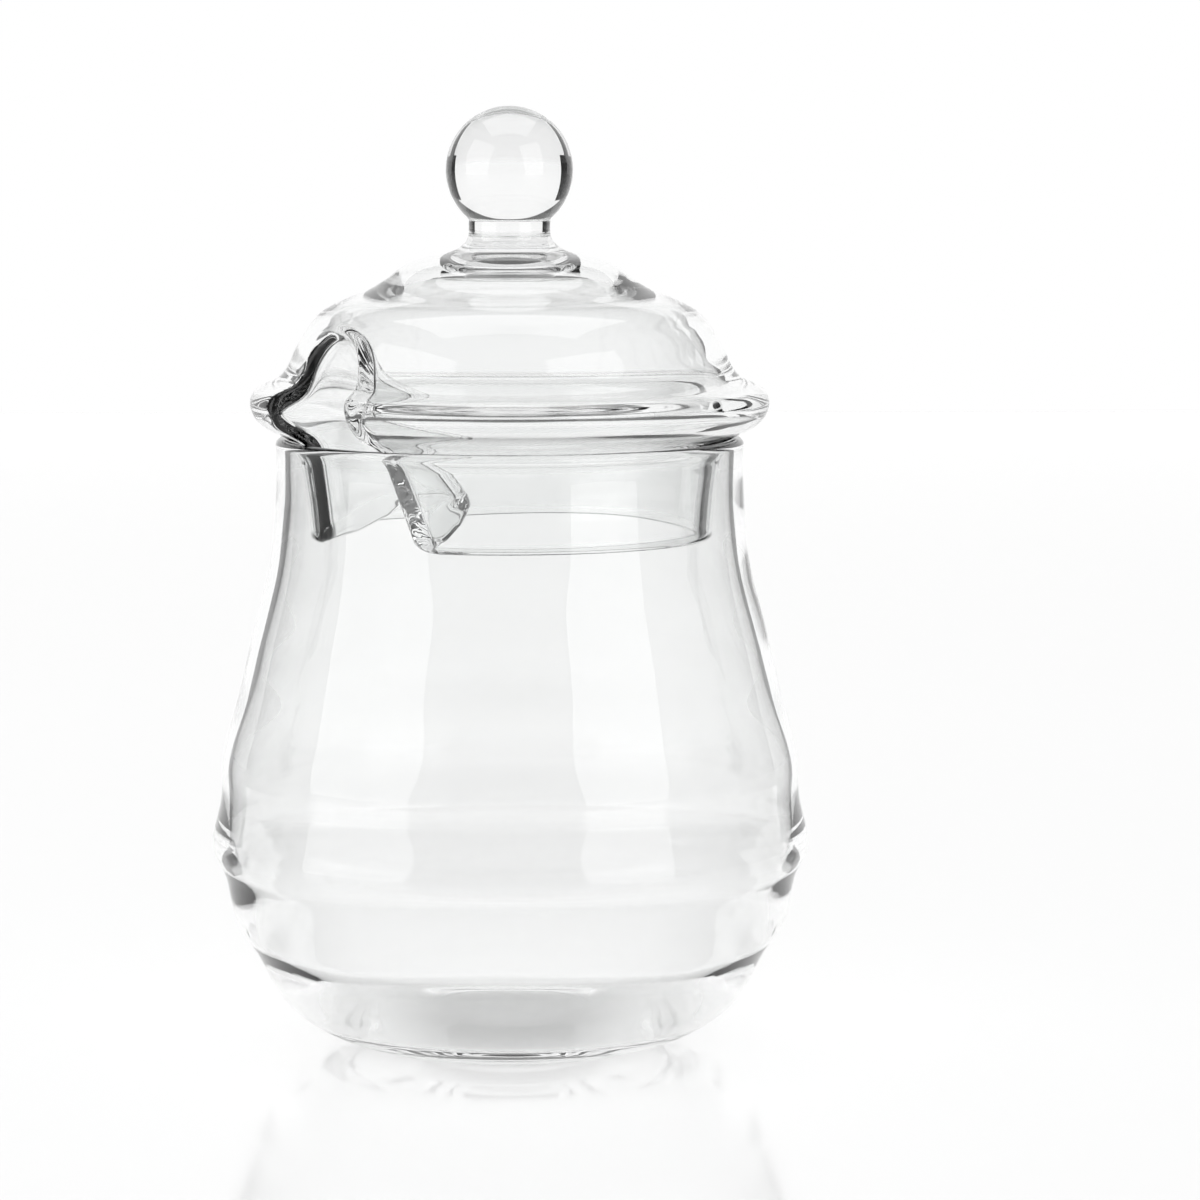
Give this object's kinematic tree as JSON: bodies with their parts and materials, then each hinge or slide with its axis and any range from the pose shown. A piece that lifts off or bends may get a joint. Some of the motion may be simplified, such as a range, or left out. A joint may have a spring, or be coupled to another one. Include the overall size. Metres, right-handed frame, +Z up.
{
  "type": "honey pot",
  "caption": "Clear blown glass honey pot with a ringed beehive belly and a loose domed lid with ball knob and a pressed groove that leaves a gap for a dipper.",
  "frame": {"origin": "middle of the jar's foot, on the surface that it stands on", "axes": "+Z up along the pot's axis; the camera side is -Y; the lid's groove is at the front left, towards -X -Y"},
  "size_m": [0.09, 0.09, 0.1411],
  "materials": {
    "jar_glass": "clear colourless borosilicate glass, fire polished, faintly wavy from blowing",
    "lid_glass": "clear colourless borosilicate glass, lamp worked, solid ball knob"
  },
  "bodies": {
    "root": {"jar": "jar_glass", "lid": "lid_glass"}
  },
  "joints": []
}
